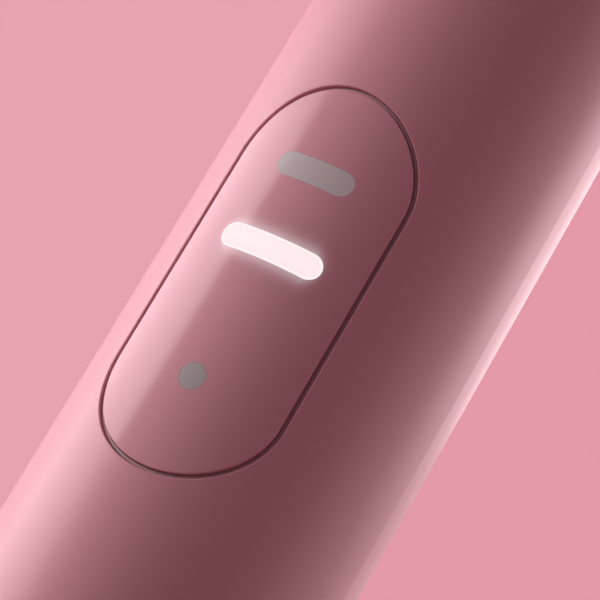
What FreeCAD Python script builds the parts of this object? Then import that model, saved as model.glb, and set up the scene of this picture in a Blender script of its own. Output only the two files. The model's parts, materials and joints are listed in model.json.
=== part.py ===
import FreeCAD, Part
import math
import os
import Sketcher

# An electric toothbrush standing on its charger, in millimetres, +Z up.
# The origin is the centre of the charger's footprint, on the surface it stands on, and -Y is the front.
# The handle's pieces are modelled with z = 0 at the handle's base, the brush head's with z = 0 at the head's
# base, and the control panel's with z = 0 at the panel's centre; each piece's Placement puts it in the
# row frame.

doc = FreeCAD.newDocument("toothbrush")
sheet = doc.addObject("Spreadsheet::Sheet", "size")
parts = []


class Size:
    """A length with its value and the spreadsheet expression that gives it."""

    def __init__(self, value, text):
        self.value, self.text = float(value), text

    def __add__(self, other):
        other = sized(other)
        return Size(self.value + other.value, f"({self.text} + {other.text})")

    def __sub__(self, other):
        other = sized(other)
        return Size(self.value - other.value, f"({self.text} - {other.text})")

    def __mul__(self, number):
        return Size(self.value * number, f"({self.text} * {number})")

    def __truediv__(self, number):
        return Size(self.value / number, f"({self.text} / {number})")

    def __neg__(self):
        return Size(-self.value, f"(-1 * {self.text})")

    def __rsub__(self, number):
        return sized(number) - self

    __radd__ = __add__
    __rmul__ = __mul__


def sized(value):
    """value as a Size: a plain number stands for itself."""
    return value if isinstance(value, Size) else Size(value, f"{float(value):.6f}")


def cell(alias, value):
    """Puts one driving dimension in the spreadsheet and returns it as a Size."""
    cell.row += 1
    sheet.set(f"A{cell.row}", alias)
    sheet.set(f"B{cell.row}", str(value))
    sheet.setAlias(f"B{cell.row}", alias)
    return Size(value, f"size.{alias}")


cell.row = 0

# Charger
base_radius = cell("base_radius", 31)
base_floor = cell("base_floor", 1)
base_seam = cell("base_seam", 4)
rim_height = cell("rim_height", 12)
lip_height = cell("lip_height", 17)
seat_height = cell("seat_height", 15)
seat_radius = cell("seat_radius", 14.2)
cover_wall = cell("cover_wall", 2)
peg_radius = cell("peg_radius", 3.6)
peg_length = cell("peg_length", 13)
core_radius = cell("core_radius", 2.2)
screw_circle = cell("screw_circle", 20)
screw_radius = cell("screw_radius", 1)
inlet_height = cell("inlet_height", 6.23)
inlet_width = cell("inlet_width", 8.94)
inlet_thickness = cell("inlet_thickness", 3.26)

# Handle
handle_radius = cell("handle_radius", 13.5)
handle_wall = cell("handle_wall", 1.6)
cap_height = cell("cap_height", 8)
seam_gap = cell("seam_gap", 0.25)
shoulder_height = cell("shoulder_height", 150)
neck_foot = cell("neck_foot", 163)
neck_radius = cell("neck_radius", 7.7)
neck_height = cell("neck_height", 169)
neck_bore = cell("neck_bore", 5.3)
head_base = cell("head_base", 172)
post_radius = cell("post_radius", 3.5)
post_top = cell("post_top", 185)
shaft_radius = cell("shaft_radius", 1.5)
shaft_top = cell("shaft_top", 192.5)

# Control panel
panel_height = cell("panel_height", 100)
panel_half_width = cell("panel_half_width", 7.34)
panel_half_length = cell("panel_half_length", 16.47)
panel_gap = cell("panel_gap", 0.32)
panel_edge = cell("panel_edge", 0.1)
button_wall = cell("button_wall", 2.8)
flange_reach = cell("flange_reach", 1.1)
flange_drop = cell("flange_drop", 2.1)
lip_drop = cell("lip_drop", 0.3)
lip_clearance = cell("lip_clearance", 0.05)
bar_radius = cell("bar_radius", 1.03)
upper_bar_height = cell("upper_bar_height", 9.15)
upper_bar_span = cell("upper_bar_span", 2.29)
middle_bar_height = cell("middle_bar_height", 2.37)
middle_bar_span = cell("middle_bar_span", 3.36)
dot_radius = cell("dot_radius", 1.07)
dot_height = cell("dot_height", -8.87)
switch_height = cell("switch_height", -4)
lens_fit = cell("lens_fit", 0.015)
board_front = cell("board_front", 6.8)

# Drive
drive_radius = cell("drive_radius", 8)
drive_foot = cell("drive_foot", 119)
drive_top = cell("drive_top", 149)
mover_radius = cell("mover_radius", 4.3)
mover_foot = cell("mover_foot", 129)
mover_top = cell("mover_top", 139)
bush_radius = cell("bush_radius", 2.55)
running_fit = cell("running_fit", 0.04)
wire_radius = cell("wire_radius", 0.28)

# Battery
battery_radius = cell("battery_radius", 7.1)
battery_length = cell("battery_length", 49)
battery_foot = cell("battery_foot", 24)
battery_setback = cell("battery_setback", 3)

# Brush head
stem_bore = cell("stem_bore", 3.65)
stem_cavity = cell("stem_cavity", 3.3)
stem_tip_radius = cell("stem_tip_radius", 4.15)
ring_height = cell("ring_height", 2.2)
disc_height = cell("disc_height", 70.5)
disc_radius = cell("disc_radius", 6.4)
disc_thickness = cell("disc_thickness", 2)
cup_radius = cell("cup_radius", 6)
cup_cavity = cell("cup_cavity", 4.9)
cup_front = cell("cup_front", 4.6)
cup_back = cell("cup_back", 3.7)
axle_radius = cell("axle_radius", 0.8)
crank_offset = cell("crank_offset", 2.4)
crank_radius = cell("crank_radius", 0.6)
rod_half_width = cell("rod_half_width", 0.8)
tuft_length = cell("tuft_length", 7.8)

doc.recompute()

panel_reach = handle_radius + 4  # deeper than any piece of the panel stands out from the axis
panel_frame = seat_height + panel_height
head_frame = seat_height + head_base


# ---- How the pieces are made ----

def bind(thing, **properties):
    """Ties properties to Sizes, such as Length=cap_height. A double underscore stands for a dot."""
    for name, value in properties.items():
        value = sized(value)
        path = name.replace("__", ".")
        if "." not in path:
            setattr(thing, name, value.value)
        thing.setExpression(path, value.text)
    return thing


def finish(thing, label, z=0, x=0, y=0):
    """Names a piece, puts it at its place in the row frame and lists it for export."""
    thing.Label = label
    bind(thing, Placement__Base__x=x, Placement__Base__y=y, Placement__Base__z=z)
    parts.append(thing)
    return thing


def body(name):
    return doc.addObject("PartDesign::Body", name)


def sketch(owner, name, plane="XZ_Plane", offset=0):
    """A sketch on one of its body's origin planes. On XZ_Plane, X is to the right and Z up, facing -Y."""
    made = owner.newObject("Sketcher::SketchObject", name)
    plane = [f for f in owner.Origin.OriginFeatures if f.Role == plane][0]
    made.AttachmentSupport = [(plane, "")]
    made.MapMode = "FlatFace"
    offset = sized(offset)
    if offset.text != "0.000000":
        made.AttachmentOffset = FreeCAD.Placement(FreeCAD.Vector(0, 0, offset.value), FreeCAD.Rotation())
        made.setExpression("AttachmentOffset.Base.z", offset.text)
    return made


def constrain(drawing, kind, *references, value=None):
    """Adds one constraint, driven by the spreadsheet where it has a value."""
    if value is None:
        return drawing.addConstraint(Sketcher.Constraint(kind, *references))
    index = drawing.addConstraint(Sketcher.Constraint(kind, *references, value.value))
    drawing.setExpression(f"Constraints[{index}]", value.text)
    return index


def locate(drawing, geometry, point, x, y):
    """Holds a point of the sketch at x, y from its origin."""
    x, y = sized(x), sized(y)
    if x.value == 0 and y.value == 0:
        constrain(drawing, "Coincident", geometry, point, -1, 1)
        return
    if x.value == 0:
        constrain(drawing, "PointOnObject", geometry, point, -2)
    else:
        constrain(drawing, "DistanceX", -1, 1, geometry, point, value=x)
    if y.value == 0:
        constrain(drawing, "PointOnObject", geometry, point, -1)
    else:
        constrain(drawing, "DistanceY", -1, 1, geometry, point, value=y)


def outline(drawing, corners):
    """A closed outline. A corner is (x, y) or (x, y, radius), and a radius rounds it with a tangent arc."""
    count = len(corners)
    places = [FreeCAD.Vector(sized(c[0]).value, sized(c[1]).value, 0) for c in corners]
    radii = [sized(c[2]) if len(c) > 2 else None for c in corners]
    ends = []
    for i, place in enumerate(places):
        back = (places[i - 1] - place).normalize()
        ahead = (places[(i + 1) % count] - place).normalize()
        reach = radii[i].value / math.tan(back.getAngle(ahead) / 2) if radii[i] else 0
        ends.append((place + back * reach, place + ahead * reach))
    lines = [drawing.addGeometry(Part.LineSegment(ends[i][1], ends[(i + 1) % count][0]))
             for i in range(count)]
    for i, place in enumerate(places):
        before, after = lines[i - 1], lines[i]
        if not radii[i]:
            constrain(drawing, "Coincident", before, 2, after, 1)
            locate(drawing, after, 1, corners[i][0], corners[i][1])
            continue
        start, stop = ends[i]
        inward = ((start - place).normalize() + (stop - place).normalize()).normalize()
        half = (start - place).getAngle(stop - place) / 2
        centre = place + inward * (radii[i].value / math.sin(half))
        middle = centre - inward * radii[i].value
        arc = drawing.addGeometry(Part.Arc(start, middle, stop))
        turns_left = (start - centre).cross(stop - centre).z > 0
        first, last = (1, 2) if turns_left else (2, 1)
        constrain(drawing, "Tangent", before, 2, arc, first)
        constrain(drawing, "Tangent", arc, last, after, 1)
        constrain(drawing, "Radius", arc, value=radii[i])
        corner = drawing.addGeometry(Part.Point(place), True)
        constrain(drawing, "PointOnObject", corner, 1, before)
        constrain(drawing, "PointOnObject", corner, 1, after)
        locate(drawing, corner, 1, corners[i][0], corners[i][1])


def circle(drawing, radius, x=0, y=0):
    radius = sized(radius)
    centre = FreeCAD.Vector(sized(x).value, sized(y).value, 0)
    made = drawing.addGeometry(Part.Circle(centre, FreeCAD.Vector(0, 0, 1), radius.value))
    constrain(drawing, "Radius", made, value=radius)
    locate(drawing, made, 3, x, y)


def rectangle(drawing, low_x, high_x, low_y, high_y):
    outline(drawing, [(low_x, low_y), (high_x, low_y), (high_x, high_y), (low_x, high_y)])


def slot(drawing, span, radius, y=0, upright=False):
    """A straight slot centred on x = 0: two arcs of that radius, their centres span from its middle."""
    span, radius, y = sized(span), sized(radius), sized(y)
    if upright:
        centres = [(sized(0), y + span), (sized(0), y - span)]
        first_angle = 0
    else:
        centres = [(-span, y), (span, y)]
        first_angle = math.pi / 2
    arcs = []
    for k, (cx, cy) in enumerate(centres):
        ring = Part.Circle(FreeCAD.Vector(cx.value, cy.value, 0), FreeCAD.Vector(0, 0, 1), radius.value)
        begin = first_angle + k * math.pi
        arcs.append(drawing.addGeometry(Part.ArcOfCircle(ring, begin, begin + math.pi)))
    tips = [drawing.getPoint(arcs[0], 2), drawing.getPoint(arcs[1], 1)]
    tails = [drawing.getPoint(arcs[1], 2), drawing.getPoint(arcs[0], 1)]
    near = drawing.addGeometry(Part.LineSegment(*tips))
    far = drawing.addGeometry(Part.LineSegment(*tails))
    constrain(drawing, "Tangent", arcs[0], 2, near, 1)
    constrain(drawing, "Tangent", near, 2, arcs[1], 1)
    constrain(drawing, "Tangent", arcs[1], 2, far, 1)
    constrain(drawing, "Tangent", far, 2, arcs[0], 1)
    for arc, (cx, cy) in zip(arcs, centres):
        locate(drawing, arc, 3, cx, cy)
    constrain(drawing, "Radius", arcs[0], value=radius)
    constrain(drawing, "Equal", arcs[0], arcs[1])


def turn(owner, corners, name, kind="PartDesign::Revolution"):
    """A full turn of an outline about the body's Z axis, added to the body or, as a Groove, cut from it."""
    drawing = sketch(owner, name + "_profile")
    outline(drawing, corners)
    made = owner.newObject(kind, name)
    made.Profile = drawing
    made.ReferenceAxis = (drawing, ["V_Axis"])
    made.Angle = 360
    doc.recompute()
    return made


def pad(owner, name, draw, length, plane="XZ_Plane", offset=0, reverse=False):
    """Extrudes what draw(sketch) draws. From XZ_Plane it runs towards -Y, or +Y in reverse."""
    drawing = sketch(owner, name + "_profile", plane, offset)
    draw(drawing)
    made = owner.newObject("PartDesign::Pad", name)
    made.Profile = drawing
    made.Reversed = reverse
    bind(made, Length=length)
    doc.recompute()
    return made


def pocket(owner, name, draw, length, plane="XZ_Plane", offset=0, reverse=False):
    """Cuts what draw(sketch) draws, along the sketch's back side or, in reverse, its front side."""
    before = owner.Shape.Volume
    drawing = sketch(owner, name + "_profile", plane, offset)
    draw(drawing)
    made = owner.newObject("PartDesign::Pocket", name)
    made.Profile = drawing
    made.Reversed = reverse
    bind(made, Length=length)
    doc.recompute()
    if not owner.Shape.Volume < before - 1e-6:
        raise RuntimeError(f"{name} cut nothing")
    return made


def round_edges(owner, name, feature, radius, wanted, kind="PartDesign::Fillet"):
    """Rounds, or with PartDesign::Chamfer bevels, the edges of a feature for which wanted(edge) is true."""
    names = [f"Edge{i + 1}" for i, edge in enumerate(feature.Shape.Edges) if wanted(edge)]
    if not names:
        raise RuntimeError(f"{name} found no edge")
    made = owner.newObject(kind, name)
    made.Base = (feature, names)
    if kind == "PartDesign::Chamfer":
        bind(made, Size=radius)
    else:
        bind(made, Radius=radius)
    doc.recompute()
    return made


def repeat(owner, name, features, drawing, count):
    """Repeats features evenly round the sketch's normal."""
    made = owner.newObject("PartDesign::PolarPattern", name)
    made.Originals = features
    made.Axis = (drawing, ["N_Axis"])
    made.Angle = 360
    made.Occurrences = count
    owner.Tip = made
    doc.recompute()
    return made


def ring(label, inner, outer, foot, top, z=0):
    """A plain ring or, with an inner radius of 0, a disc."""
    owner = body(label)
    turn(owner, [(inner, foot), (outer, foot), (outer, top), (inner, top)], label + "_turn")
    return finish(owner, label, z)


def trim(owner, name, inner, outer, half_length):
    """Trims a body to the band between two radii round the Z axis."""
    reach, high = panel_reach + 6, half_length + 2
    turn(owner, [(outer, -high), (reach, -high), (reach, high), (outer, high)], name + "_outer",
         "PartDesign::Groove")
    turn(owner, [(0, -high), (inner, -high), (inner, high), (0, high)], name + "_inner",
         "PartDesign::Groove")


def curved_plate(label, draw, inner, outer, half_length):
    """A plate that follows the handle's round surface: an extruded outline trimmed to a band of radii."""
    owner = body(label)
    pad(owner, label + "_blank", draw, panel_reach)
    trim(owner, label, inner, outer, half_length)
    return owner


def at_radius(edge, radius):
    """True if the whole edge lies at that distance from the Z axis."""
    samples = edge.discretize(9)
    return all(abs(math.hypot(p.x, p.y) - radius.value) < 0.01 for p in samples)


def block(name, low, high):
    """A Part::Box between two corners, each (x, y, z)."""
    made = doc.addObject("Part::Box", name)
    low, high = [sized(v) for v in low], [sized(v) for v in high]
    bind(made, Length=high[0] - low[0], Width=high[1] - low[1], Height=high[2] - low[2])
    bind(made, Placement__Base__x=low[0], Placement__Base__y=low[1], Placement__Base__z=low[2])
    return made


def drum(name, radius, foot, top, x=0, y=0):
    """An upright Part::Cylinder."""
    made = doc.addObject("Part::Cylinder", name)
    bind(made, Radius=radius, Height=sized(top) - foot)
    bind(made, Placement__Base__x=x, Placement__Base__y=y, Placement__Base__z=foot)
    return made


def lying_drum(name, radius, front, back, x=0, z=0):
    """A Part::Cylinder along Y, from front (the more negative y) to back."""
    made = doc.addObject("Part::Cylinder", name)
    bind(made, Radius=radius, Height=sized(back) - front)
    made.Placement = FreeCAD.Placement(FreeCAD.Vector(), FreeCAD.Rotation(FreeCAD.Vector(1, 0, 0), -90))
    bind(made, Placement__Base__x=x, Placement__Base__y=front, Placement__Base__z=z)
    return made


def cut(name, base, tool):
    made = doc.addObject("Part::Cut", name)
    made.Base, made.Tool = base, tool
    return made


def fuse(name, pieces):
    made = doc.addObject("Part::MultiFuse", name)
    made.Shapes = pieces
    return made


def group(name, pieces):
    """Separate solids that share one node."""
    made = doc.addObject("Part::Compound", name)
    made.Links = pieces
    return made


# ---- Charger ----

def make_charger_cover():
    owner = body("charger_cover")
    inner_wall = base_radius - cover_wall
    seat_under = seat_height - cover_wall
    shoulder = seat_radius + 2.3
    turn(owner, [
        (base_radius, base_seam),
        (base_radius, rim_height, 5),
        (shoulder, lip_height, 1.2),
        (seat_radius, lip_height, 0.5),
        (seat_radius, seat_height),
        (peg_radius, seat_height),
        (peg_radius, seat_height + peg_length, 1.5),
        (0, seat_height + peg_length),
        (0, seat_height + peg_length - 1.5),
        (core_radius + 0.2, seat_height + peg_length - 1.5),
        (core_radius + 0.2, seat_under),
        (shoulder - 0.6, seat_under),
        (shoulder - 0.6, lip_height - cover_wall - 0.4),
        (inner_wall, rim_height - 1.8),
        (inner_wall, base_seam),
    ], "cover_turn")
    boss_foot = base_floor + 2.05
    boss = pad(owner, "screw_boss", lambda s: circle(s, 3, x=0, y=-screw_circle),
               rim_height + 1.6 - boss_foot, "XY_Plane", boss_foot)
    hole_drawing = sketch(owner, "pilot_hole_profile", "XY_Plane", boss_foot)
    circle(hole_drawing, screw_radius + 0.05, x=0, y=-screw_circle)
    hole = owner.newObject("PartDesign::Pocket", "pilot_hole")
    hole.Profile = hole_drawing
    hole.Reversed = True
    bind(hole, Length=7)
    doc.recompute()
    repeat(owner, "boss_pattern", [boss, hole], hole_drawing, 3)
    pocket(owner, "inlet_window",
           lambda s: slot(s, (inlet_width - inlet_thickness) / 2, inlet_thickness / 2 + 0.15, inlet_height),
           8, offset=-(base_radius + 4), reverse=True)
    return finish(owner, "charger_cover")


def make_charger_base():
    owner = body("charger_base")
    lip_outer = base_radius - cover_wall - 0.2
    floor_top = base_floor + 2
    turn(owner, [
        (0, base_floor),
        (base_radius - 1, base_floor),
        (base_radius, base_floor + 1),
        (base_radius, base_seam - 0.15),
        (lip_outer, base_seam - 0.15),
        (lip_outer, base_seam + 1.8),
        (lip_outer - 1.5, base_seam + 1.8),
        (lip_outer - 1.5, floor_top),
        (0, floor_top),
    ], "base_turn")
    pad(owner, "board_rails", lambda s: [rectangle(s, side - 1.5, side + 1.5, 4, 25) for side in (-9, 9)],
        0.6, "XY_Plane", floor_top)
    shank_drawing = sketch(owner, "shank_hole_profile", "XY_Plane", floor_top)
    circle(shank_drawing, screw_radius + 0.2, x=0, y=-screw_circle)
    shank = owner.newObject("PartDesign::Pocket", "shank_hole")
    shank.Profile = shank_drawing
    bind(shank, Length=4)
    doc.recompute()
    head_drawing = sketch(owner, "head_recess_profile", "XY_Plane", base_floor)
    circle(head_drawing, 2.4, x=0, y=-screw_circle)
    recess = owner.newObject("PartDesign::Pocket", "head_recess")
    recess.Profile = head_drawing
    recess.Reversed = True
    bind(recess, Length=1.1)
    doc.recompute()
    repeat(owner, "screw_hole_pattern", [shank, recess], head_drawing, 3)
    pocket(owner, "inlet_notch", lambda s: rectangle(s, -5.4, 5.4, base_seam - 0.5, base_seam + 3),
           9, offset=-(base_radius - 0.4), reverse=True)
    return finish(owner, "charger_base")


def make_foot_ring():
    owner = body("foot_ring")
    inner, outer = base_radius - 8, base_radius - 2.5
    turn(owner, [(inner, 0), (outer - 0.5, 0), (outer, 0.5), (outer, base_floor), (inner, base_floor)],
         "foot_turn")
    return finish(owner, "foot_ring")


def make_charger_screws():
    screws = []
    for k in range(3):
        angle = math.radians(-90 + 120 * k)
        x, y = screw_circle * math.cos(angle), screw_circle * math.sin(angle)
        head = drum(f"screw_head_{k}", 2.2, base_floor + 0.1, base_floor + 1.05, x, y)
        shank = drum(f"screw_shank_{k}", screw_radius, base_floor + 1, base_floor + 9, x, y)
        drive_slot = block(f"screw_slot_{k}", (x - 1.5, y - 0.25, base_floor),
                           (x + 1.5, y + 0.25, base_floor + 0.5))
        screws.append(cut(f"screw_{k}", fuse(f"screw_blank_{k}", [head, shank]), drive_slot))
    return finish(group("charger_screws", screws), "charger_screws")


def make_inlet():
    """The charger's USB type C inlet, facing +Y: a steel shell with a plastic tongue."""
    depth, wall = 7, 0.3
    front = base_radius - 0.6 - depth
    radius = inlet_thickness / 2
    span = (inlet_width - inlet_thickness) / 2
    shell = body("inlet_shell")
    pad(shell, "inlet_shell_pad", lambda s: [slot(s, span, radius), slot(s, span, radius - wall)],
        depth, offset=-front, reverse=True)
    pad(shell, "inlet_shell_back", lambda s: slot(s, span, radius), 0.5, offset=-front, reverse=True)
    finish(shell, "inlet_shell", inlet_height)
    tongue = body("inlet_tongue")
    pad(tongue, "inlet_tongue_pad", lambda s: rectangle(s, -3.2, 3.2, -0.35, 0.35),
        depth - 1.6, offset=-(front + 0.5), reverse=True)
    finish(tongue, "inlet_tongue", inlet_height)


def make_charger_board():
    foot = base_floor + 2.6
    owner = body("charger_board")
    pad(owner, "charger_board_pad",
        lambda s: outline(s, [(-12, 3, 1), (12, 3, 1), (12, 22), (5.6, 26), (-5.6, 26), (-12, 22)]),
        1, "XY_Plane", foot)
    finish(owner, "charger_board")
    chips = []
    places = [(-8, 14, 4, 5, 1.2), (0.5, 15, 5, 5, 1), (8, 13, 3, 6, 1.5), (8.5, 20.5, 2.5, 3, 1.6),
              (-8.5, 21, 2.5, 4, 1.2)]
    for k, (x, y, wide, deep, tall) in enumerate(places):
        chips.append(block(f"charger_chip_{k}", (x - wide / 2, y - deep / 2, foot + 1),
                           (x + wide / 2, y + deep / 2, foot + 1 + tall)))
    finish(group("charger_chips", chips), "charger_chips")


def make_primary_coil():
    """The ferrite rod that fills the peg, with the bobbin and the copper winding round its foot."""
    foot, top = seat_height - 9.4, seat_height - cover_wall
    owner = body("coil_bobbin")
    turn(owner, [
        (core_radius + 0.1, foot),
        (9, foot),
        (9, foot + 1),
        (core_radius + 1.1, foot + 1),
        (core_radius + 1.1, top - 1),
        (9, top - 1),
        (9, top),
        (core_radius + 0.1, top),
    ], "bobbin_turn")
    finish(owner, "coil_bobbin")
    ring("primary_coil", core_radius + 1.15, 8.6, foot + 1.05, top - 1.05)
    ring("ferrite_core", 0, core_radius, foot, seat_height + peg_length - 1.7)


# ---- Handle ----

def make_end_cap():
    owner = body("end_cap")
    spigot = handle_radius - handle_wall - 0.2
    socket = peg_radius + 0.4
    turn(owner, [
        (socket, 0),
        (handle_radius, 0, 3),
        (handle_radius, cap_height),
        (spigot, cap_height),
        (spigot, cap_height + 1.6),
        (spigot - 1.1, cap_height + 1.6),
        (spigot - 1.1, cap_height + 3.6),
        (spigot, cap_height + 3.6),
        (spigot, cap_height + 5.5),
        (spigot - 1.5, cap_height + 5.5),
        (spigot - 1.5, 2.5),
        (socket + 1.5, 2.5),
        (socket + 1.5, peg_length + 2.5),
        (0, peg_length + 2.5),
        (0, peg_length + 1),
        (socket, peg_length + 1),
    ], "cap_turn")
    finish(owner, "end_cap", seat_height)
    seal = doc.addObject("Part::Torus", "cap_seal")
    bind(seal, Radius1=spigot - 0.45, Radius2=0.6)
    finish(seal, "cap_seal", seat_height + cap_height + 2.6)
    ring("receiver_coil", socket + 1.8, spigot - 2.1, 3, 12.5, seat_height)


def make_handle_shell():
    owner = body("handle_shell")
    inner = handle_radius - handle_wall
    foot = cap_height + seam_gap
    turn(owner, [
        (inner, foot),
        (handle_radius, foot),
        (handle_radius, shoulder_height, 40),
        (neck_radius, neck_foot, 25),
        (neck_radius, neck_height),
        (neck_bore, neck_height),
        (neck_bore, neck_foot - 3),
        (inner - 4.5, neck_foot - 6),
        (inner, shoulder_height - 6),
    ], "shell_turn")
    span, radius = panel_half_length - panel_half_width, panel_half_width + panel_gap / 2
    opening = pocket(owner, "panel_opening", lambda s: slot(s, span, radius, panel_height, upright=True),
                     panel_reach, reverse=True)
    half = panel_half_length.value + 1
    round_edges(owner, "panel_opening_edge", opening, panel_edge,
                lambda edge: at_radius(edge, handle_radius)
                and abs(edge.CenterOfMass.z - panel_height.value) < half)
    return finish(owner, "handle_shell", seat_height)


def make_chassis():
    """The tray that carries the battery, the circuit board and the drive."""
    outer, inner = handle_radius - handle_wall - 0.35, 10.4
    foot, top = 17, shoulder_height - 6.5
    tube = cut("chassis_tube", drum("chassis_outside", outer, foot, top),
               drum("chassis_inside", inner, foot - 1, top + 1))
    pieces = [tube]
    for k, (low, thick) in enumerate([(76, 1.5), (115.5, 1.5)]):
        pieces.append(drum(f"bulkhead_{k}", inner + 0.3, low, low + thick))
    for k, low in enumerate([drive_foot, shoulder_height - 8.6]):
        pieces.append(cut(f"drive_seat_{k}", drum(f"drive_seat_rim_{k}", inner + 0.3, low, low + 2),
                          drum(f"drive_seat_bore_{k}", drive_radius + 0.05, low - 1, low + 3)))
    for k, side in enumerate((-1, 1)):
        low_x, high_x = (6.6, 9.4) if side > 0 else (-9.4, -6.6)
        pieces.append(block(f"board_rail_{k}", (low_x, 1 - board_front, 22),
                            (high_x, 2.2 - board_front, 117)))
    front = block("chassis_front", (-20, -20, 0), (20, 1 - board_front, 200))
    return finish(cut("chassis", fuse("chassis_walls", pieces), front), "chassis", seat_height)


def make_battery():
    owner = body("battery_cell")
    top = battery_foot + battery_length
    turn(owner, [
        (0, battery_foot),
        (battery_radius, battery_foot, 0.6),
        (battery_radius, top, 0.8),
        (2.75, top),
        (2.75, top + 1, 0.3),
        (0, top + 1),
    ], "battery_turn")
    finish(owner, "battery_cell", seat_height, y=battery_setback)
    tabs = []
    for k, (low, reach) in enumerate([(battery_foot - 0.2, 0), (top + 1, 1)]):
        plate = block(f"tab_plate_{k}", (-2, 1 - board_front, low), (2, battery_setback + 2, low + 0.2))
        strip_low, strip_high = (low, low + 4) if reach == 0 else (low - 4, low + 0.2)
        strip = block(f"tab_strip_{k}", (-2, 1 - board_front, strip_low), (2, 1.2 - board_front, strip_high))
        tabs.append(fuse(f"tab_{k}", [plate, strip]))
    finish(group("battery_tabs", tabs), "battery_tabs", seat_height)


def make_circuit_board():
    owner = body("circuit_board")
    corners = [(-7.7, 22, 1), (7.7, 22, 1), (7.7, 114, 1), (-7.7, 114, 1)]
    pad(owner, "circuit_board_pad", lambda s: outline(s, corners), 1, offset=board_front - 1)
    finish(owner, "circuit_board", seat_height)
    chips = []
    places = [(0, 36, 5, 5, 0.9), (-4.5, 46, 3, 4, 1), (4, 47, 4, 3, 0.8), (0, 58, 6, 6, 0.9),
              (4.5, 68, 3, 2, 1.1), (-4, 70, 3, 5, 1.2), (5.2, 28, 2.5, 3.5, 1.4)]
    for k, (x, z, wide, tall, thick) in enumerate(places):
        chips.append(block(f"board_chip_{k}", (x - wide / 2, -board_front - thick, z - tall / 2),
                           (x + wide / 2, -board_front, z + tall / 2)))
    finish(group("board_chips", chips), "board_chips", seat_height)


def panel_outline(grow):
    """Draws the control panel's rounded outline, grown outwards by a Size."""
    return lambda s: slot(s, panel_half_length - panel_half_width, panel_half_width + grow, upright=True)


def window_outlines(grow):
    """Draws each light window, grown outwards: the upper bar, the middle bar and the dot."""
    return {
        "upper_bar": lambda s: slot(s, upper_bar_span, bar_radius + grow, upper_bar_height),
        "middle_bar": lambda s: slot(s, middle_bar_span, bar_radius + grow, middle_bar_height),
        "dot": lambda s: circle(s, dot_radius + grow, 0, dot_height),
    }


def make_control_button():
    """The button, its retaining flange behind the shell's wall, and the three light windows set into it."""
    inner = handle_radius - button_wall
    owner = curved_plate("control_button", panel_outline(flange_reach), inner, handle_radius - flange_drop,
                         panel_half_length + 3)
    pad(owner, "button_face", panel_outline(-(panel_gap / 2)), panel_reach)
    trim(owner, "button_face", inner, handle_radius, panel_half_length + 3)
    round_edges(owner, "button_edge", owner.Tip, panel_edge, lambda edge: at_radius(edge, handle_radius))
    for name, draw in window_outlines(lens_fit).items():
        pocket(owner, name + "_window", draw, panel_reach, reverse=True)
    post_end = board_front + 2.12
    pad(owner, "button_post", lambda s: circle(s, 1.3, 0, switch_height), inner + 0.4 - post_end,
        offset=post_end)
    finish(owner, "control_button", panel_frame)
    for name, draw in window_outlines(sized(0)).items():
        lens = curved_plate(name + "_lens", draw, inner, handle_radius, panel_half_length)
        finish(lens, name + "_lens", panel_frame)


def make_button_seal():
    """The soft frame between the shell's wall and the button's flange, with a lip that fills the gap."""
    inner, lip_reach = handle_radius - flange_drop + 0.04, panel_gap / 2 - lip_clearance

    def ring_between(outside):
        def draw(drawing):
            panel_outline(-lip_reach)(drawing)
            panel_outline(outside)(drawing)
        return draw
    owner = curved_plate("button_seal", ring_between(flange_reach), inner, handle_radius - handle_wall - 0.04,
                         panel_half_length + 3)
    pad(owner, "seal_lip", ring_between(lip_reach), panel_reach)
    trim(owner, "seal_lip", inner, handle_radius - lip_drop, panel_half_length + 3)
    return finish(owner, "button_seal", panel_frame)


def make_switch():
    """The tact switch behind the button, its plunger, the lamps and the baffle between their beams."""
    switch = cut("switch_case",
                 block("switch_block", (-1.8, -board_front - 1.6, switch_height - 2.1),
                       (1.8, -board_front, switch_height + 2.1)),
                 lying_drum("switch_bore", 0.85, -board_front - 1.7, -board_front - 0.7, 0, switch_height))
    finish(switch, "tact_switch", panel_frame)
    plunger = lying_drum("switch_plunger", 0.8, -board_front - 2.1, -board_front - 1.15, 0, switch_height)
    finish(plunger, "switch_plunger", panel_frame + switch_height, y=-board_front - 2.1)
    lamps = []
    for k, (x, z) in enumerate([(-1.3, upper_bar_height), (1.3, upper_bar_height), (-2, middle_bar_height),
                                (2, middle_bar_height), (0, dot_height)]):
        z = sized(z)
        lamps.append(block(f"lamp_{k}", (x - 0.8, -board_front - 0.65, z - 0.4),
                           (x + 0.8, -board_front, z + 0.4)))
    finish(group("status_lamps", lamps), "status_lamps", panel_frame)
    baffle = body("light_baffle")
    thickness = 1.4
    corners = [(-5, -12.5, 1), (5, -12.5, 1), (5, 12.5, 1), (-5, 12.5, 1)]
    pad(baffle, "baffle_pad", lambda s: outline(s, corners), thickness, offset=board_front + 0.75)
    for name, draw in window_outlines(sized(0.3)).items():
        pocket(baffle, name + "_channel", draw, panel_reach, reverse=True)
    low, high = switch_height - 2.4, switch_height + 2.4
    pocket(baffle, "switch_window", lambda s: rectangle(s, -2.1, 2.1, low, high), panel_reach, reverse=True)
    finish(baffle, "light_baffle", panel_frame)


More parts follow.
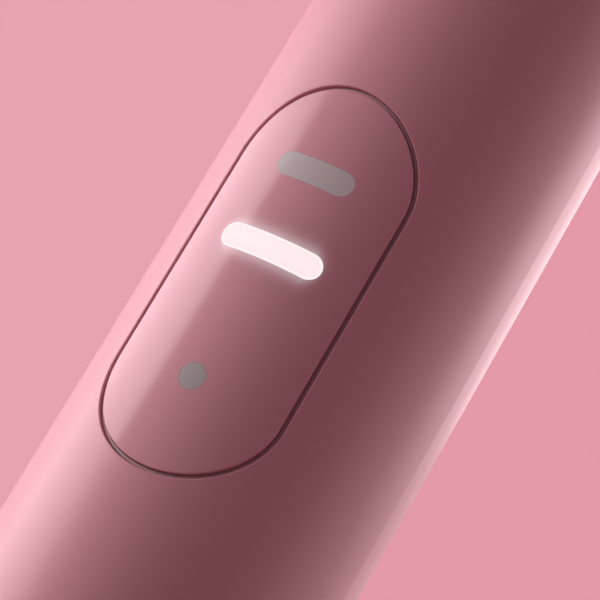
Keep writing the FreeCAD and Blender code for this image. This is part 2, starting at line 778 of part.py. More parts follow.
def make_drive():
    """The linear drive: a can, end plate and bushes, two pole rings, a coil, and a sprung magnet mover."""
    bore = shaft_radius + running_fit
    can = body("drive_housing")
    turn(can, [
        (bush_radius + 0.02, drive_foot),
        (drive_radius, drive_foot, 0.6),
        (drive_radius, drive_top),
        (drive_radius - 0.7, drive_top),
        (drive_radius - 0.7, drive_foot + 1.2),
        (bush_radius + 0.02, drive_foot + 1.2),
    ], "housing_turn")
    finish(can, "drive_housing", seat_height)
    ring("drive_end_plate", bush_radius + 0.02, drive_radius - 0.75, drive_top - 2.2, drive_top, seat_height)
    ring("upper_bush", bore, bush_radius, drive_top - 2.6, drive_top, seat_height)
    ring("lower_bush", bore, bush_radius, drive_foot, drive_foot + 2.6, seat_height)
    ring("stator_coil", mover_radius + 0.7, drive_radius - 0.9, mover_foot - 1, mover_top + 1, seat_height)
    poles = []
    for k, foot in enumerate([mover_foot - 3.5, mover_top + 1.5]):
        poles.append(cut(f"pole_{k}", drum(f"pole_disc_{k}", drive_radius - 0.75, foot, foot + 2),
                         drum(f"pole_bore_{k}", mover_radius + 0.4, foot - 1, foot + 3)))
    finish(group("stator_poles", poles), "stator_poles", seat_height)
    middle = (mover_foot + mover_top) / 2
    magnets = []
    for k, (low, high) in enumerate([(mover_foot, middle - 0.6), (middle + 0.6, mover_top)]):
        magnets.append(cut(f"magnet_{k}", drum(f"magnet_disc_{k}", mover_radius, low, high),
                           drum(f"magnet_bore_{k}", shaft_radius, low - 1, high + 1)))
    finish(group("mover_magnets", magnets), "mover_magnets", seat_height)
    ring("mover_core", shaft_radius, mover_radius, middle - 0.6, middle + 0.6, seat_height)
    make_spring("lower_spring", drive_foot + 1.3, mover_foot - 0.1)
    make_spring("upper_spring", mover_top + 0.1, drive_top - 2.3)


def make_spring(label, foot, top):
    """A coil spring round the drive shaft, between two faces."""
    mean_radius, turns = 3.1, 5
    height = top - foot - wire_radius * 2
    helix = doc.addObject("Part::Helix", label + "_path")
    bind(helix, Pitch=height / turns, Height=height, Radius=mean_radius)
    wire = doc.addObject("Part::Circle", label + "_wire")
    bind(wire, Radius=wire_radius)
    wire.Placement = FreeCAD.Placement(FreeCAD.Vector(mean_radius, 0, 0),
                                       FreeCAD.Rotation(FreeCAD.Vector(1, 0, 0), 90))
    spring = doc.addObject("Part::Sweep", label)
    spring.Sections, spring.Spine = [wire], (helix, [])
    spring.Solid, spring.Frenet = True, True
    doc.recompute()
    return finish(spring, label, seat_height + foot + wire_radius)


def make_drive_shaft():
    owner = body("drive_shaft")
    foot = drive_foot - 0.5
    turn(owner, [
        (0, foot),
        (shaft_radius, foot),
        (shaft_radius, shaft_top - 3.6),
        (shaft_radius - 0.25, shaft_top - 3.3),
        (shaft_radius - 0.25, shaft_top - 2.7),
        (shaft_radius, shaft_top - 2.4),
        (shaft_radius, shaft_top, 0.6),
        (0, shaft_top),
    ], "shaft_turn")
    return finish(owner, "drive_shaft", seat_height)


def make_mounting_post():
    """The fixed post that the brush head pushes onto; the drive shaft slides inside it."""
    bore = shaft_radius + 0.5
    owner = body("mounting_post")
    turn(owner, [
        (bore, drive_top + 0.2),
        (7, drive_top + 0.2),
        (7, drive_top + 2),
        (neck_bore - 0.1, neck_foot - 6.5),
        (neck_bore - 0.1, head_base - 0.4),
        (post_radius, head_base - 0.4),
        (post_radius, post_top, 0.5),
        (bore + 0.7, post_top),
        (bore + 0.7, post_top - 4),
        (bore, post_top - 4),
    ], "post_turn")
    pocket(owner, "post_flat", lambda s: rectangle(s, -5, 5, head_base - 0.4, post_top + 1),
           2, offset=-(post_radius + 1.5), reverse=True)
    finish(owner, "mounting_post", seat_height)
    ring("shaft_seal", shaft_radius + running_fit, bore + 0.66, post_top - 3.9, post_top - 0.2, seat_height)
    ring("neck_ring", neck_bore, neck_radius, neck_height + 0.05, head_base - 0.55, seat_height)


# ---- Brush head ----

def make_brush_stem():
    owner = body("brush_stem")
    foot = ring_height + 0.15
    cup = pad(owner, "cup", lambda s: circle(s, cup_radius, 0, disc_height), cup_front + cup_back,
              offset=-cup_back)
    round_edges(owner, "cup_back_edge", cup, 2.2, lambda e: abs(e.CenterOfMass.y - cup_back.value) < 0.01)
    turn(owner, [
        (0, foot),
        (neck_radius - 0.15, foot),
        (7.1, 8, 30),
        (5, 19, 40),
        (stem_tip_radius + 0.1, 36, 90),
        (stem_tip_radius, disc_height - 4),
        (0, disc_height - 4),
    ], "stem_turn")
    turn(owner, [
        (0, foot - 1),
        (stem_bore, foot - 1),
        (stem_bore, post_top - head_base + 0.6),
        (stem_cavity, post_top - head_base + 1.4),
        (stem_cavity, disc_height - 3),
        (0, disc_height - 3),
    ], "stem_bore", "PartDesign::Groove")
    pocket(owner, "cup_cavity", lambda s: circle(s, cup_cavity, 0, disc_height), cup_front + 2,
           offset=cup_front + 0.01)
    pocket(owner, "axle_hole", lambda s: circle(s, axle_radius, 0, disc_height), cup_front + 3.2,
           offset=cup_front + 0.01)
    finish(owner, "brush_stem", head_frame)
    ring("colour_ring", stem_bore, neck_radius - 0.05, 0, ring_height, head_frame)


def make_connecting_rod():
    """The rod inside the stem: its socket grips the shaft's tip, its slotted eye drives the crank pin."""
    foot = post_top - head_base + 2
    bar_foot = foot + 6
    owner = body("connecting_rod")
    turn(owner, [
        (shaft_radius + 0.02, foot),
        (stem_cavity - 0.6, foot),
        (stem_cavity - 0.6, bar_foot - 0.5, 0.6),
        (0, bar_foot + 1.2),
        (0, bar_foot - 0.2),
        (shaft_radius + 0.02, bar_foot - 0.2),
    ], "socket_turn")
    knee, shift = disc_height - 10, 1.9
    neck = disc_height - 3
    eye_low, eye_high = disc_height - 1.3, disc_height + 1.5
    left, right = crank_offset - 1.35, crank_offset + 1.35

    def bar(drawing):
        outline(drawing, [
            (-rod_half_width, bar_foot + 0.2),
            (rod_half_width, bar_foot + 0.2),
            (rod_half_width + shift, knee),
            (rod_half_width + shift + 0.2, neck),
            (right, eye_low),
            (right, eye_high, 0.5),
            (left, eye_high, 0.5),
            (left, neck),
            (shift - rod_half_width, knee),
        ])
    pad(owner, "bar", bar, rod_half_width * 2, offset=-rod_half_width)

    def eye(drawing):
        reach, high = crank_radius + 0.2, crank_radius + 0.05
        rectangle(drawing, crank_offset - reach, crank_offset + reach, disc_height - high, disc_height + high)
    pocket(owner, "crank_slot", eye, 4, offset=2)
    return finish(owner, "connecting_rod", head_frame)


def make_bristle_disc():
    front, back = cup_front + 0.2 + disc_thickness, cup_front + 0.2
    owner = body("bristle_disc")
    disc = pad(owner, "disc", lambda s: circle(s, disc_radius, 0, disc_height), disc_thickness, offset=back)
    round_edges(owner, "disc_edge", disc, 0.5, lambda e: abs(e.CenterOfMass.y + front.value) < 0.01)
    pad(owner, "crank_pin", lambda s: circle(s, crank_radius, crank_offset, disc_height), back + 1.2,
        offset=-1)
    bore = axle_radius + running_fit
    pocket(owner, "axle_bore", lambda s: circle(s, bore, 0, disc_height), disc_thickness - 0.6,
           offset=back + disc_thickness - 0.6)
    finish(owner, "bristle_disc", head_frame)
    axle = lying_drum("axle_pin", axle_radius, -(back + disc_thickness - 0.7), cup_back - 0.9, 0, disc_height)
    finish(axle, "axle_pin", head_frame + disc_height, y=-(back + disc_thickness - 0.7))
    for name, count, circle_radius, radius in (("outer", 16, 5.2, 0.78), ("middle", 10, 3.1, 0.74),
                                               ("inner", 5, 1.25, 0.6)):
        tufts = []
        for k in range(count):
            angle = 2 * math.pi * k / count
            x, z = circle_radius * math.sin(angle), disc_height + circle_radius * math.cos(angle)
            tufts.append(lying_drum(f"{name}_tuft_{k}", radius, -(front + tuft_length), -front, x, z))
        finish(group(f"{name}_tufts", tufts), f"{name}_tufts", head_frame)


def check_and_write():
    """Stops on a failed object or a bad shape, and writes one STEP file for each piece."""
    doc.recompute()
    for thing in doc.Objects:
        if "Invalid" in thing.State or "Error" in thing.State:
            raise RuntimeError(f"{thing.Name} ({thing.Label}) is {thing.State}")
    os.makedirs("parts", exist_ok=True)
    for name in os.listdir("parts"):
        if name.endswith(".step"):
            os.remove(os.path.join("parts", name))
    for part in parts:
        if part.Shape.isNull() or not part.Shape.isValid() or not part.Shape.Solids:
            raise RuntimeError(f"{part.Label} has no valid solid")
        part.Shape.exportStep(f"parts/{part.Label}.step")
    print(f"wrote {len(parts)} pieces")


make_charger_cover()
make_charger_base()
make_foot_ring()
make_charger_screws()
make_inlet()
make_charger_board()
make_primary_coil()
make_end_cap()
make_handle_shell()
make_chassis()
make_battery()
make_circuit_board()
make_control_button()
make_button_seal()
make_switch()
make_drive()
make_drive_shaft()
make_mounting_post()
make_brush_stem()
make_connecting_rod()
make_bristle_disc()
check_and_write()
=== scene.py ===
import json
import math
import random

import bpy
from mathutils import Matrix, Vector


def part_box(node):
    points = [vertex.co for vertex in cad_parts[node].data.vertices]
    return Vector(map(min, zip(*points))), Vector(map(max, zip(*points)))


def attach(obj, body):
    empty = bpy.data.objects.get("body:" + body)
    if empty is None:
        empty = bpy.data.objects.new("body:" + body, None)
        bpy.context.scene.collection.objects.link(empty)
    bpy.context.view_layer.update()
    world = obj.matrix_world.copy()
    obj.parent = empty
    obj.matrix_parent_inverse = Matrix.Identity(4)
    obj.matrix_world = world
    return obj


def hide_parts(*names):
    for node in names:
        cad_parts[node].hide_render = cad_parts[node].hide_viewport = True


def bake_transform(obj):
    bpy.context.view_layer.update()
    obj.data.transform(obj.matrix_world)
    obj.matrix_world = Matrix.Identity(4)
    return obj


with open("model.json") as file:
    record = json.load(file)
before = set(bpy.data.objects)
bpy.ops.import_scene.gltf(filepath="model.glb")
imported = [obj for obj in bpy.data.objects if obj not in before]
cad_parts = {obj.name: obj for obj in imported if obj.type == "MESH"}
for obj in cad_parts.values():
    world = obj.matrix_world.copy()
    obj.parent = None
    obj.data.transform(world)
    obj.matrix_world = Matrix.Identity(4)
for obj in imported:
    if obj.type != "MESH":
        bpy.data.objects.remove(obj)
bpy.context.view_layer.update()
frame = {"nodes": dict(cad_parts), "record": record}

scene = bpy.context.scene
scene.view_settings.view_transform = "Standard"
MM = 0.001
PANEL_LOW, PANEL_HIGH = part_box("control_button")
PANEL_Z = (PANEL_LOW.z + PANEL_HIGH.z) / 2


# ---- Materials ----

def linear(red, green, blue):
    """A colour given as 0-255 screen values, as the shader's linear one."""
    def one(value):
        value /= 255
        return value / 12.92 if value <= 0.04045 else ((value + 0.055) / 1.055) ** 2.4
    return one(red), one(green), one(blue)


class Look:
    """A node material: a Principled shader with mottled colour, uneven roughness and a fine bump."""

    def __init__(self, name, colour, roughness, mottle=0.04, mottle_scale=60, roughness_swing=0.05,
                 grain=0.0, grain_scale=2500, wear=None, **sockets):
        self.material = bpy.data.materials.new(name)
        self.material.use_nodes = True
        self.tree = self.material.node_tree
        self.shader = self.tree.nodes["Principled BSDF"]
        self.place = self.add("ShaderNodeTexCoord").outputs["Object"]
        cloud = self.noise(mottle_scale, 1)
        light = [min(1, c * (1 + mottle)) for c in colour]
        dark = [c * (1 - mottle) for c in colour]
        tone = self.blend(cloud, dark, light)
        if wear:
            tone = self.worn_edges(tone, wear)
        self.join(tone, self.shader.inputs["Base Color"])
        spread = self.add("ShaderNodeMapRange")
        self.join(self.noise(mottle_scale * 2, 1), spread.inputs["Value"])
        spread.inputs["To Min"].default_value = max(0.02, roughness - roughness_swing)
        spread.inputs["To Max"].default_value = min(1, roughness + roughness_swing)
        self.join(spread.outputs["Result"], self.shader.inputs["Roughness"])
        if grain:
            self.bump(self.noise(grain_scale, 3), grain)
        for socket, value in sockets.items():
            self.shader.inputs[socket.replace("_", " ")].default_value = value

    def add(self, kind):
        return self.tree.nodes.new(kind)

    def join(self, output, socket):
        self.tree.links.new(output, socket)

    def noise(self, scale, detail):
        made = self.add("ShaderNodeTexNoise")
        self.join(self.place, made.inputs["Vector"])
        made.inputs["Scale"].default_value = scale
        made.inputs["Detail"].default_value = detail
        return made.outputs["Fac"]

    def blend(self, factor, low, high):
        ramp = self.add("ShaderNodeValToRGB")
        ramp.color_ramp.elements[0].position = 0.2
        ramp.color_ramp.elements[0].color = (*low, 1)
        ramp.color_ramp.elements[1].position = 0.8
        ramp.color_ramp.elements[1].color = (*high, 1)
        self.join(factor, ramp.inputs["Fac"])
        return ramp.outputs["Color"]

    def worn_edges(self, tone, colour):
        """Edges that stand out turn a little towards another colour."""
        ramp = self.add("ShaderNodeValToRGB")
        ramp.color_ramp.elements[0].position = 0.52
        ramp.color_ramp.elements[1].position = 0.62
        self.join(self.add("ShaderNodeNewGeometry").outputs["Pointiness"], ramp.inputs["Fac"])
        mix = self.add("ShaderNodeMix")
        mix.data_type = "RGBA"
        self.join(ramp.outputs["Color"], mix.inputs["Factor"])
        self.join(tone, mix.inputs[6])
        mix.inputs[7].default_value = (*colour, 1)
        return mix.outputs[2]

    def wound(self, pitch):
        """Turns of wire lying side by side up the Z axis."""
        wave = self.add("ShaderNodeTexWave")
        wave.bands_direction = "Z"
        wave.inputs["Scale"].default_value = 0.314 / pitch
        self.join(self.place, wave.inputs["Vector"])
        self.bump(wave.outputs["Fac"], pitch / 2)
        return self

    def brushed(self, distance):
        """Fine lines that run round the Z axis."""
        stretch = self.add("ShaderNodeMapping")
        stretch.inputs["Scale"].default_value = (150, 150, 30000)
        self.join(self.place, stretch.inputs["Vector"])
        lines = self.add("ShaderNodeTexNoise")
        lines.inputs["Scale"].default_value = 1
        self.join(stretch.outputs["Vector"], lines.inputs["Vector"])
        self.bump(lines.outputs["Fac"], distance)
        return self

    def lit_by_bar(self, centre, span, radius, stops, end_fade=None):
        """Emission set by the distance from the outline of a bar lying along X: stops are (distance, colour).
        On the lit window it is the lamp's own light; on the button round it, a painted glow.
        """
        apart = self.add("ShaderNodeSeparateXYZ")
        self.join(self.place, apart.inputs["Vector"])
        sideways = self.maths("ABSOLUTE", apart.outputs["X"])
        across = self.maths("MAXIMUM", self.maths("SUBTRACT", sideways, span), 0)
        rise = self.maths("SUBTRACT", apart.outputs["Z"], centre)
        reach = self.maths("SQRT", self.maths("ADD", self.maths("MULTIPLY", across, across),
                                              self.maths("MULTIPLY", rise, rise)))
        nearest, farthest = stops[0][0], stops[-1][0]
        place = self.maths("DIVIDE", self.maths("SUBTRACT", reach, radius + nearest), farthest - nearest)
        if end_fade:
            place = self.maths("ADD", place, self.maths("MULTIPLY", across, end_fade))
        ramp = self.add("ShaderNodeValToRGB")
        elements = ramp.color_ramp.elements
        for k, (distance, colour) in enumerate(stops):
            where = (distance - nearest) / (farthest - nearest)
            stop = elements[0] if k == 0 else elements[-1] if k == len(stops) - 1 else elements.new(where)
            stop.position = where
            stop.color = (*colour, 1)
        self.join(place, ramp.inputs["Fac"])
        self.join(ramp.outputs["Color"], self.shader.inputs["Emission Color"])
        self.shader.inputs["Emission Strength"].default_value = 1
        return self

    def maths(self, operation, first, second=None):
        made = self.add("ShaderNodeMath")
        made.operation = operation
        for k, value in enumerate((first, second)):
            if isinstance(value, (int, float)):
                made.inputs[k].default_value = value
            elif value is not None:
                self.join(value, made.inputs[k])
        return made.outputs["Value"]

    def bump(self, height, distance):
        made = self.add("ShaderNodeBump")
        made.inputs["Strength"].default_value = 0.6
        made.inputs["Distance"].default_value = distance
        self.join(height, made.inputs["Height"])
        if self.shader.inputs["Normal"].is_linked:
            self.join(self.shader.inputs["Normal"].links[0].from_socket, made.inputs["Normal"])
        self.join(made.outputs["Normal"], self.shader.inputs["Normal"])


# A look with a painted glow: a faint emission on a part that is no lamp.
def painted_glow_look(name, colour, glow):
    look = Look(name, colour, 0.3, mottle=0.01, roughness_swing=0.01)
    look.shader.inputs["Emission Color"].default_value = (*glow, 1)
    look.shader.inputs["Emission Strength"].default_value = 1
    return look


BODY_PINK = (0.85, 0.447, 0.491)
LENS_GREY = (0.56, 0.62, 0.585)
MIDDLE_LOW, MIDDLE_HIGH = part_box("middle_bar_lens")
BAR_Z = (MIDDLE_LOW.z + MIDDLE_HIGH.z) / 2
BAR_RADIUS = (MIDDLE_HIGH.z - MIDDLE_LOW.z) / 2
BAR_SPAN = MIDDLE_HIGH.x - BAR_RADIUS
# Painted glow on the button: emission that falls off with distance from the lit bar's outline.
PAINTED_HALO = [(distance * MM, (0.86 * glow, glow, glow)) for distance, glow in (
    (0, 0.24), (0.15, 0.2), (0.31, 0.155), (0.46, 0.11), (0.61, 0.075), (0.76, 0.048), (0.92, 0.029),
    (1.1, 0.015), (1.4, 0.006), (1.85, 0))]
LIT_LENS = [(-0.9 * MM, (0.97, 0.825, 0.84)), (-0.2 * MM, (0.95, 0.80, 0.815)),
            (-0.06 * MM, (1.0, 0.90, 0.90)), (0, (1.0, 0.94, 0.94))]
LOOKS = {
    "shell_pink": Look("satin_pink", BODY_PINK, 0.36, mottle=0.01, roughness_swing=0.02, grain=0.3e-6,
                       grain_scale=9000),
    "cap_pink": Look("satin_pink_cap", BODY_PINK, 0.38, mottle=0.01, roughness_swing=0.02, grain=0.3e-6,
                     grain_scale=9000),
    # The button's pink carries the painted glow round the lit bar.
    "button_pink": Look("gloss_pink", BODY_PINK, 0.18, mottle=0.008, roughness_swing=0.01).lit_by_bar(
        BAR_Z, BAR_SPAN, BAR_RADIUS, PAINTED_HALO, end_fade=330),
    "seal_pink": Look("pink_rubber", (0.52, 0.38, 0.40), 0.6, mottle=0.03, grain=4e-6),
    "window_grey": Look("smoked_window", LENS_GREY, 0.3, mottle=0.01),
    "window_lit": Look("lit_window", (0.08, 0.07, 0.07), 0.6, mottle=0.01,
                       Specular_IOR_Level=0.15).lit_by_bar(BAR_Z, BAR_SPAN, BAR_RADIUS, LIT_LENS),
    "cover_white": Look("white_gloss", (0.80, 0.76, 0.77), 0.22, mottle=0.015, grain=0.4e-6, grain_scale=6000,
                        wear=(0.88, 0.86, 0.87), Coat_Weight=0.3, Coat_Roughness=0.12),
    "base_white": Look("white_matte", (0.68, 0.65, 0.66), 0.5, mottle=0.03, grain=4e-6, grain_scale=5000,
                       wear=(0.8, 0.78, 0.79)),
    "foot_rubber": Look("grey_rubber", (0.30, 0.28, 0.29), 0.8, mottle=0.08, grain=12e-6, grain_scale=2600,
                        wear=(0.42, 0.40, 0.41)),
    "steel": Look("steel", (0.55, 0.55, 0.57), 0.3, mottle=0.05, roughness_swing=0.08,
                  wear=(0.75, 0.75, 0.76), Metallic=1.0).brushed(2e-6),
    "board_green": Look("board_green", (0.03, 0.16, 0.07), 0.4, mottle=0.15, mottle_scale=700, grain=3e-6),
    "chip_black": Look("chip_black", (0.02, 0.02, 0.022), 0.5, mottle=0.1, grain=4e-6, grain_scale=5000,
                       wear=(0.10, 0.10, 0.11)),
    "copper": Look("copper", (0.72, 0.30, 0.15), 0.35, mottle=0.08, mottle_scale=300,
                   Metallic=1.0).wound(0.28 * MM),
    "ferrite": Look("ferrite", (0.05, 0.05, 0.055), 0.6, mottle=0.15, mottle_scale=900, grain=8e-6,
                    wear=(0.14, 0.14, 0.15)),
    "bobbin_white": Look("bobbin_white", (0.60, 0.60, 0.58), 0.5, mottle=0.03, grain=3e-6),
    "seal_grey": Look("seal_grey", (0.20, 0.18, 0.19), 0.7, mottle=0.06, grain=5e-6),
    "chassis_grey": Look("chassis_grey", (0.12, 0.12, 0.13), 0.5, mottle=0.06, grain=5e-6, grain_scale=4000,
                         wear=(0.22, 0.22, 0.23)),
    "cell_blue": Look("cell_blue", (0.03, 0.08, 0.20), 0.3, mottle=0.05, roughness_swing=0.06,
                      Coat_Weight=0.4),
    "lamp_white": Look("lamp_white", (0.80, 0.80, 0.65), 0.3),
    "magnet": Look("magnet", (0.65, 0.65, 0.67), 0.2, mottle=0.05, roughness_swing=0.06, Metallic=1.0),
    "zinc": Look("zinc", (0.50, 0.50, 0.52), 0.4, mottle=0.12, mottle_scale=500, grain=4e-6, Metallic=1.0),
    "bush_brass": Look("bush_brass", (0.70, 0.50, 0.22), 0.3, mottle=0.06, Metallic=1.0).brushed(2e-6),
    "post_white": Look("post_white", (0.72, 0.70, 0.70), 0.4, mottle=0.02, grain=2e-6,
                       wear=(0.82, 0.81, 0.81)),
    "ring_silver": Look("ring_silver", (0.75, 0.66, 0.67), 0.22, mottle=0.03, roughness_swing=0.05,
                        wear=(0.88, 0.82, 0.82), Metallic=1.0).brushed(1.5e-6),
    "head_white": Look("head_white", (0.80, 0.78, 0.78), 0.3, mottle=0.015, grain=0.5e-6, grain_scale=7000,
                       wear=(0.87, 0.86, 0.86), Subsurface_Weight=0.1, Subsurface_Scale=0.001),
    "head_ring_pink": Look("head_ring_pink", (0.72, 0.28, 0.33), 0.3, mottle=0.02, grain=1e-6,
                           grain_scale=7000),
    "rod_white": Look("rod_white", (0.70, 0.70, 0.69), 0.4, mottle=0.03, grain=2e-6),
    "nylon_white": Look("nylon_white", (0.85, 0.85, 0.86), 0.3, mottle=0.05, mottle_scale=900,
                        Subsurface_Weight=0.3, Subsurface_Scale=0.0005),
    "nylon_pink": Look("nylon_pink", (0.80, 0.36, 0.43), 0.3, mottle=0.07, mottle_scale=900,
                       Subsurface_Weight=0.3, Subsurface_Scale=0.0005),
}
# The upper window is no lamp: its faint emission is a painted glow.
UPPER_LENS_PAINTED_GLOW = painted_glow_look("smoked_window_painted_glow", LENS_GREY, (0.075, 0.052, 0.055))

for part in frame["record"]["subparts"]:
    node = frame["nodes"][part["node"]]
    node.data.materials.clear()
    node.data.materials.append(LOOKS[part["material_slot"]].material)
frame["nodes"]["upper_bar_lens"].data.materials[0] = UPPER_LENS_PAINTED_GLOW.material


# ---- Bristles ----

FILAMENT_RADIUS = 0.088  # millimetres, like the rest of this section
FILAMENT_EDGE = 0.1  # a filament's middle stays this far inside its tuft

def tuft_middles(count, circle_radius):
    """The tufts' places on one circle of the disc, as (x, z) from its middle."""
    turns = [2 * math.pi * k / count for k in range(count)]
    return [(circle_radius * math.sin(a), circle_radius * math.cos(a)) for a in turns]


def filament_places(tuft_radius):
    """Close-packed places of one tuft's filaments, as (x, z) from its middle."""
    pitch, places = 0.215, []
    row_pitch = pitch * 0.866  # rows of a close-packed triangular grid
    rows = int(tuft_radius / row_pitch) + 1
    for row in range(-rows, rows + 1):
        shift = pitch / 2 if row % 2 else 0
        for column in range(-rows - 1, rows + 2):
            x, z = column * pitch + shift, row * row_pitch
            if math.hypot(x, z) <= tuft_radius - FILAMENT_EDGE:
                places.append((x, z))
    return places


def filament(verts, faces, foot, tip, radius):
    """A six-sided bristle with a rounded tip, from foot to tip, both Vectors in millimetres."""
    sides, first = 6, len(verts)
    along = (tip - foot).normalized()
    side = along.cross(Vector((0, 0, 1))).normalized()
    other = along.cross(side)
    for place, width in ((0.0, 1.0), (0.55, 1.0), (0.975, 1.0), (0.993, 0.75), (1.0, 0.35)):
        middle = foot.lerp(tip, place)
        for k in range(sides):
            a = 2 * math.pi * k / sides
            verts.append((middle + (side * math.cos(a) + other * math.sin(a)) * radius * width) * MM)
    for level in range(4):
        for k in range(sides):
            low, nxt = first + level * sides, (k + 1) % sides
            faces.append((low + k, low + nxt, low + sides + nxt, low + sides + k))
    faces.append(tuple(first + k for k in reversed(range(sides))))
    faces.append(tuple(first + 4 * sides + k for k in range(sides)))


def bristles(name, node, count, circle_radius, tuft_radius, slot, rng):
    """One circle of tufts as separate filaments that lean a little apart."""
    low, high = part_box(node)
    front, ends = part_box("bristle_disc")[0].y / MM, low.y / MM
    middle_z = (low.z + high.z) / 2 / MM
    if count % 2:  # an odd circle reaches further up than down, so its box isn't centred on it
        middle_z = high.z / MM - circle_radius - tuft_radius
    verts, faces = [], []
    for cx, cz in tuft_middles(count, circle_radius):
        lean = Vector((rng.uniform(-0.08, 0.08), 0, rng.uniform(-0.08, 0.08)))
        for x, z in filament_places(tuft_radius):
            foot = Vector((cx + x, front + 0.06, middle_z + cz + z))
            stray = Vector((rng.uniform(-0.05, 0.05), 0, rng.uniform(-0.05, 0.05)))
            spread = Vector((x, 0, z)) * 0.12 + stray
            tip = Vector((foot.x, ends + rng.uniform(0.01, 0.16), foot.z)) + spread + lean
            filament(verts, faces, foot, tip, FILAMENT_RADIUS)
    mesh = bpy.data.meshes.new(name)
    mesh.from_pydata(verts, [], faces)
    mesh.update()
    made = bpy.data.objects.new(name, mesh)
    scene.collection.objects.link(made)
    mesh.materials.append(LOOKS[slot].material)
    for face in mesh.polygons:
        face.use_smooth = len(face.vertices) == 4
    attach(made, "bristle_disc")
    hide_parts(node)


rng = random.Random(7)
SLOTS = {part["node"]: part["material_slot"] for part in frame["record"]["subparts"]}
bristles("outer_bristles", "outer_tufts", 16, 5.2, 0.78, SLOTS["outer_tufts"], rng)
bristles("middle_bristles", "middle_tufts", 10, 3.1, 0.74, SLOTS["middle_tufts"], rng)
bristles("inner_bristles", "inner_tufts", 5, 1.25, 0.6, SLOTS["inner_tufts"], rng)


# ---- Springs ----

def spring(name, node):
    """A copy of a CAD spring's mesh, baked in place, that stands in for the hidden CAD piece."""
    made = bpy.data.objects.new(name, frame["nodes"][node].data.copy())
    scene.collection.objects.link(made)
    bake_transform(made)
    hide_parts(node)


spring("lower_coil_spring", "lower_spring")
spring("upper_coil_spring", "upper_spring")


# ---- Floor, background and light ----

FILL_COLOUR, FILL_STRENGTH = linear(230, 160, 171), 0.153
BACKDROP_LEFT, BACKDROP_RIGHT = linear(231, 163, 174), linear(228, 154, 167)


def world_background():
    """A plain pink studio, deeper to the right, that sends out far less light than the camera sees."""
    world = bpy.data.worlds.new("studio")
    scene.world = world
    world.use_nodes = True
    tree = world.node_tree
    seen = tree.nodes["Background"]
    direction = tree.nodes.new("ShaderNodeTexCoord")
    apart = tree.nodes.new("ShaderNodeSeparateXYZ")
    tree.links.new(direction.outputs["Generated"], apart.inputs["Vector"])
    ramp = tree.nodes.new("ShaderNodeValToRGB")
    ramp.color_ramp.interpolation = "EASE"
    ramp.color_ramp.elements[0].color = ramp.color_ramp.elements[1].color = (*BACKDROP_LEFT, 1)
    for place in (0.2, 0.5):
        ramp.color_ramp.elements.new(place).color = (*BACKDROP_RIGHT, 1)
    spread = tree.nodes.new("ShaderNodeMapRange")
    spread.inputs["From Min"].default_value = -0.42
    spread.inputs["From Max"].default_value = -0.12
    tree.links.new(apart.outputs["X"], spread.inputs["Value"])
    tree.links.new(spread.outputs["Result"], ramp.inputs["Fac"])
    above = tree.nodes.new("ShaderNodeMapRange")
    above.interpolation_type = "SMOOTHSTEP"
    above.inputs["From Max"].default_value = 0.1
    tree.links.new(apart.outputs["Z"], above.inputs["Value"])
    mix = tree.nodes.new("ShaderNodeMix")
    mix.data_type = "RGBA"
    mix.inputs[6].default_value = (*BACKDROP_LEFT, 1)
    tree.links.new(above.outputs["Result"], mix.inputs["Factor"])
    tree.links.new(ramp.outputs["Color"], mix.inputs[7])
    tree.links.new(mix.outputs[2], seen.inputs["Color"])
    fill = tree.nodes.new("ShaderNodeBackground")
    fill.inputs["Color"].default_value = (*FILL_COLOUR, 1)
    fill.inputs["Strength"].default_value = FILL_STRENGTH
    choose = tree.nodes.new("ShaderNodeMixShader")
    path = tree.nodes.new("ShaderNodeLightPath")
    tree.links.new(path.outputs["Is Camera Ray"], choose.inputs["Fac"])
    tree.links.new(fill.outputs["Background"], choose.inputs[1])
    tree.links.new(seen.outputs["Background"], choose.inputs[2])
    tree.links.new(choose.outputs["Shader"], tree.nodes["World Output"].inputs["Surface"])


def floor():
    """A pale floor that runs out into the backdrop's colour and lights the object only as the studio does."""
    mesh = bpy.data.meshes.new("floor")
    size = 12.0
    corners = [(-size, -size, 0), (size, -size, 0), (size, size, 0), (-size, size, 0)]
    mesh.from_pydata(corners, [], [(0, 1, 2, 3)])
    made = bpy.data.objects.new("floor", mesh)
    scene.collection.objects.link(made)
    look = Look("pale_floor", linear(240, 196, 203), 0.6, mottle=0.01, mottle_scale=8)
    distance = look.add("ShaderNodeVectorMath")
    distance.operation = "LENGTH"
    look.join(look.place, distance.inputs[0])
    fade = look.add("ShaderNodeMapRange")
    fade.interpolation_type = "SMOOTHSTEP"
    fade.inputs["From Min"].default_value = 0.07
    fade.inputs["From Max"].default_value = 0.36
    look.join(distance.outputs["Value"], fade.inputs["Value"])
    backdrop, bounce = look.add("ShaderNodeEmission"), look.add("ShaderNodeEmission")
    backdrop.inputs["Color"].default_value = (*BACKDROP_LEFT, 1)
    bounce.inputs["Color"].default_value = (*FILL_COLOUR, 1)
    bounce.inputs["Strength"].default_value = FILL_STRENGTH
    seen, all_rays = look.add("ShaderNodeMixShader"), look.add("ShaderNodeMixShader")
    look.join(fade.outputs["Result"], seen.inputs["Fac"])
    look.join(look.shader.outputs["BSDF"], seen.inputs[1])
    look.join(backdrop.outputs["Emission"], seen.inputs[2])
    look.join(look.add("ShaderNodeLightPath").outputs["Is Camera Ray"], all_rays.inputs["Fac"])
    look.join(bounce.outputs["Emission"], all_rays.inputs[1])
    look.join(seen.outputs["Shader"], all_rays.inputs[2])
    look.join(all_rays.outputs["Shader"], look.tree.nodes["Material Output"].inputs["Surface"])
    made.data.materials.append(look.material)


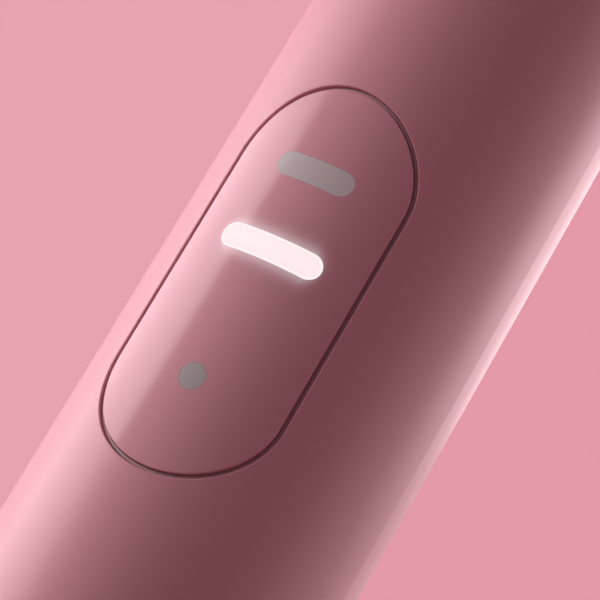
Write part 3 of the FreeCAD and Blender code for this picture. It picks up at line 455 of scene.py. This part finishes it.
def softbox_wall(name, start, end, low, high, radiance, colour):
    """Upright soft lights side by side round the handle, between two azimuths (0 in front, 90 right)."""
    distance, widest = 0.6, 24  # metres from the axis, and degrees that one light spans
    count = max(1, round((end - start) / widest))
    step = math.radians(end - start) / count
    for k in range(count):
        data = bpy.data.lights.new(f"{name}_{k}", "AREA")
        data.shape = "RECTANGLE"
        data.size, data.size_y = 2 * distance * math.tan(step / 2), high - low
        data.energy = radiance * math.pi * data.size * data.size_y
        data.color = colour
        made = bpy.data.objects.new(data.name, data)
        scene.collection.objects.link(made)
        azimuth = math.radians(start) + step * (k + 0.5)
        away = Vector((math.sin(azimuth), -math.cos(azimuth), 0))
        made.location = away * distance + Vector((0, 0, (low + high) / 2))
        made.rotation_euler = away.to_track_quat("Z", "Y").to_euler()


FILLED = {"brush_stem", "colour_ring", "bristle_disc", "axle_pin", "mounting_post", "neck_ring", "shaft_seal",
          "drive_shaft", "charger_cover", "charger_base", "foot_ring", "inlet_shell", "inlet_tongue"}


def front_fill(name, place, size, radiance, nodes):
    """A soft light from the front that falls only on these pieces and the bristles, not on the handle."""
    data = bpy.data.lights.new(name, "AREA")
    data.shape, data.size = "SQUARE", size
    data.energy = radiance * math.pi * size * size
    data.color = (1.0, 0.93, 0.94)
    made = bpy.data.objects.new(name, data)
    scene.collection.objects.link(made)
    made.location = place
    made.rotation_euler = (Vector(place) - Vector((0, 0, 0.16))).to_track_quat("Z", "Y").to_euler()
    receivers = bpy.data.collections.new(name + "_receivers")
    for node in nodes:
        receivers.objects.link(frame["nodes"][node])
    for circle in ("outer", "middle", "inner"):
        receivers.objects.link(bpy.data.objects[circle + "_bristles"])
    made.light_linking.receiver_collection = receivers


def photo_camera():
    """The camera close to the panel: a little to its right, below it, and rolled."""
    azimuth, elevation, roll = math.radians(26.06), math.radians(-14.2), math.radians(30.6)
    distance = 0.1849
    data = bpy.data.cameras.new("camera")
    data.sensor_width, data.lens = 36, 140.76
    data.clip_start, data.clip_end = 0.01, 50
    made = bpy.data.objects.new("camera", data)
    scene.collection.objects.link(made)
    back = Vector((math.sin(azimuth) * math.cos(elevation), -math.cos(azimuth) * math.cos(elevation),
                   math.sin(elevation)))
    right = Vector((math.cos(azimuth), math.sin(azimuth), 0))
    up = back.cross(right)
    across = right * math.cos(roll) + up * math.sin(roll)
    along = up * math.cos(roll) - right * math.sin(roll)
    target = Vector((0, 0, PANEL_Z + 3.19 * MM)) - right * 2.0 * MM
    made.matrix_world = Matrix.Translation(target + back * distance) @ Matrix(
        (across, along, back)).transposed().to_4x4()
    scene.camera = made


world_background()
floor()
LEFT_LIGHT, RIGHT_LIGHT = (1.0, 0.82, 0.862), (1.0, 0.779, 0.824)
softbox_wall("left_wide", 228.8, 318.0, 0.012, 0.357, 0.994, LEFT_LIGHT)
for k, radiance in enumerate((0.92, 0.75, 0.5, 0.26, 0.1)):
    softbox_wall(f"left_fade_{k}", 318.0 + 12 * k, 330.0 + 12 * k, 0.012, 0.357, radiance, LEFT_LIGHT)
softbox_wall("left_key", 257.5, 310.1, 0.0, 0.341, 4.034, LEFT_LIGHT)
softbox_wall("left_backdrop", 200.0, 257.5, 0.0, 0.8, 0.5, (1.0, 0.45, 0.52))
softbox_wall("right_wide", 87.2, 184.6, 0.016, 0.714, 0.689, RIGHT_LIGHT)
softbox_wall("right_low", 148.0, 200.0, 0.0, 0.259, 0.4, (1.0, 0.66, 0.72))
softbox_wall("right_rim", 128.4, 200.5, 0.259, 1.0, 2.558, RIGHT_LIGHT)
front_fill("fill_for_head_and_charger", (-0.35, -0.75, 0.75), 0.7, 1.3,
           [part["node"] for part in frame["record"]["subparts"] if part["node"] in FILLED])
photo_camera()
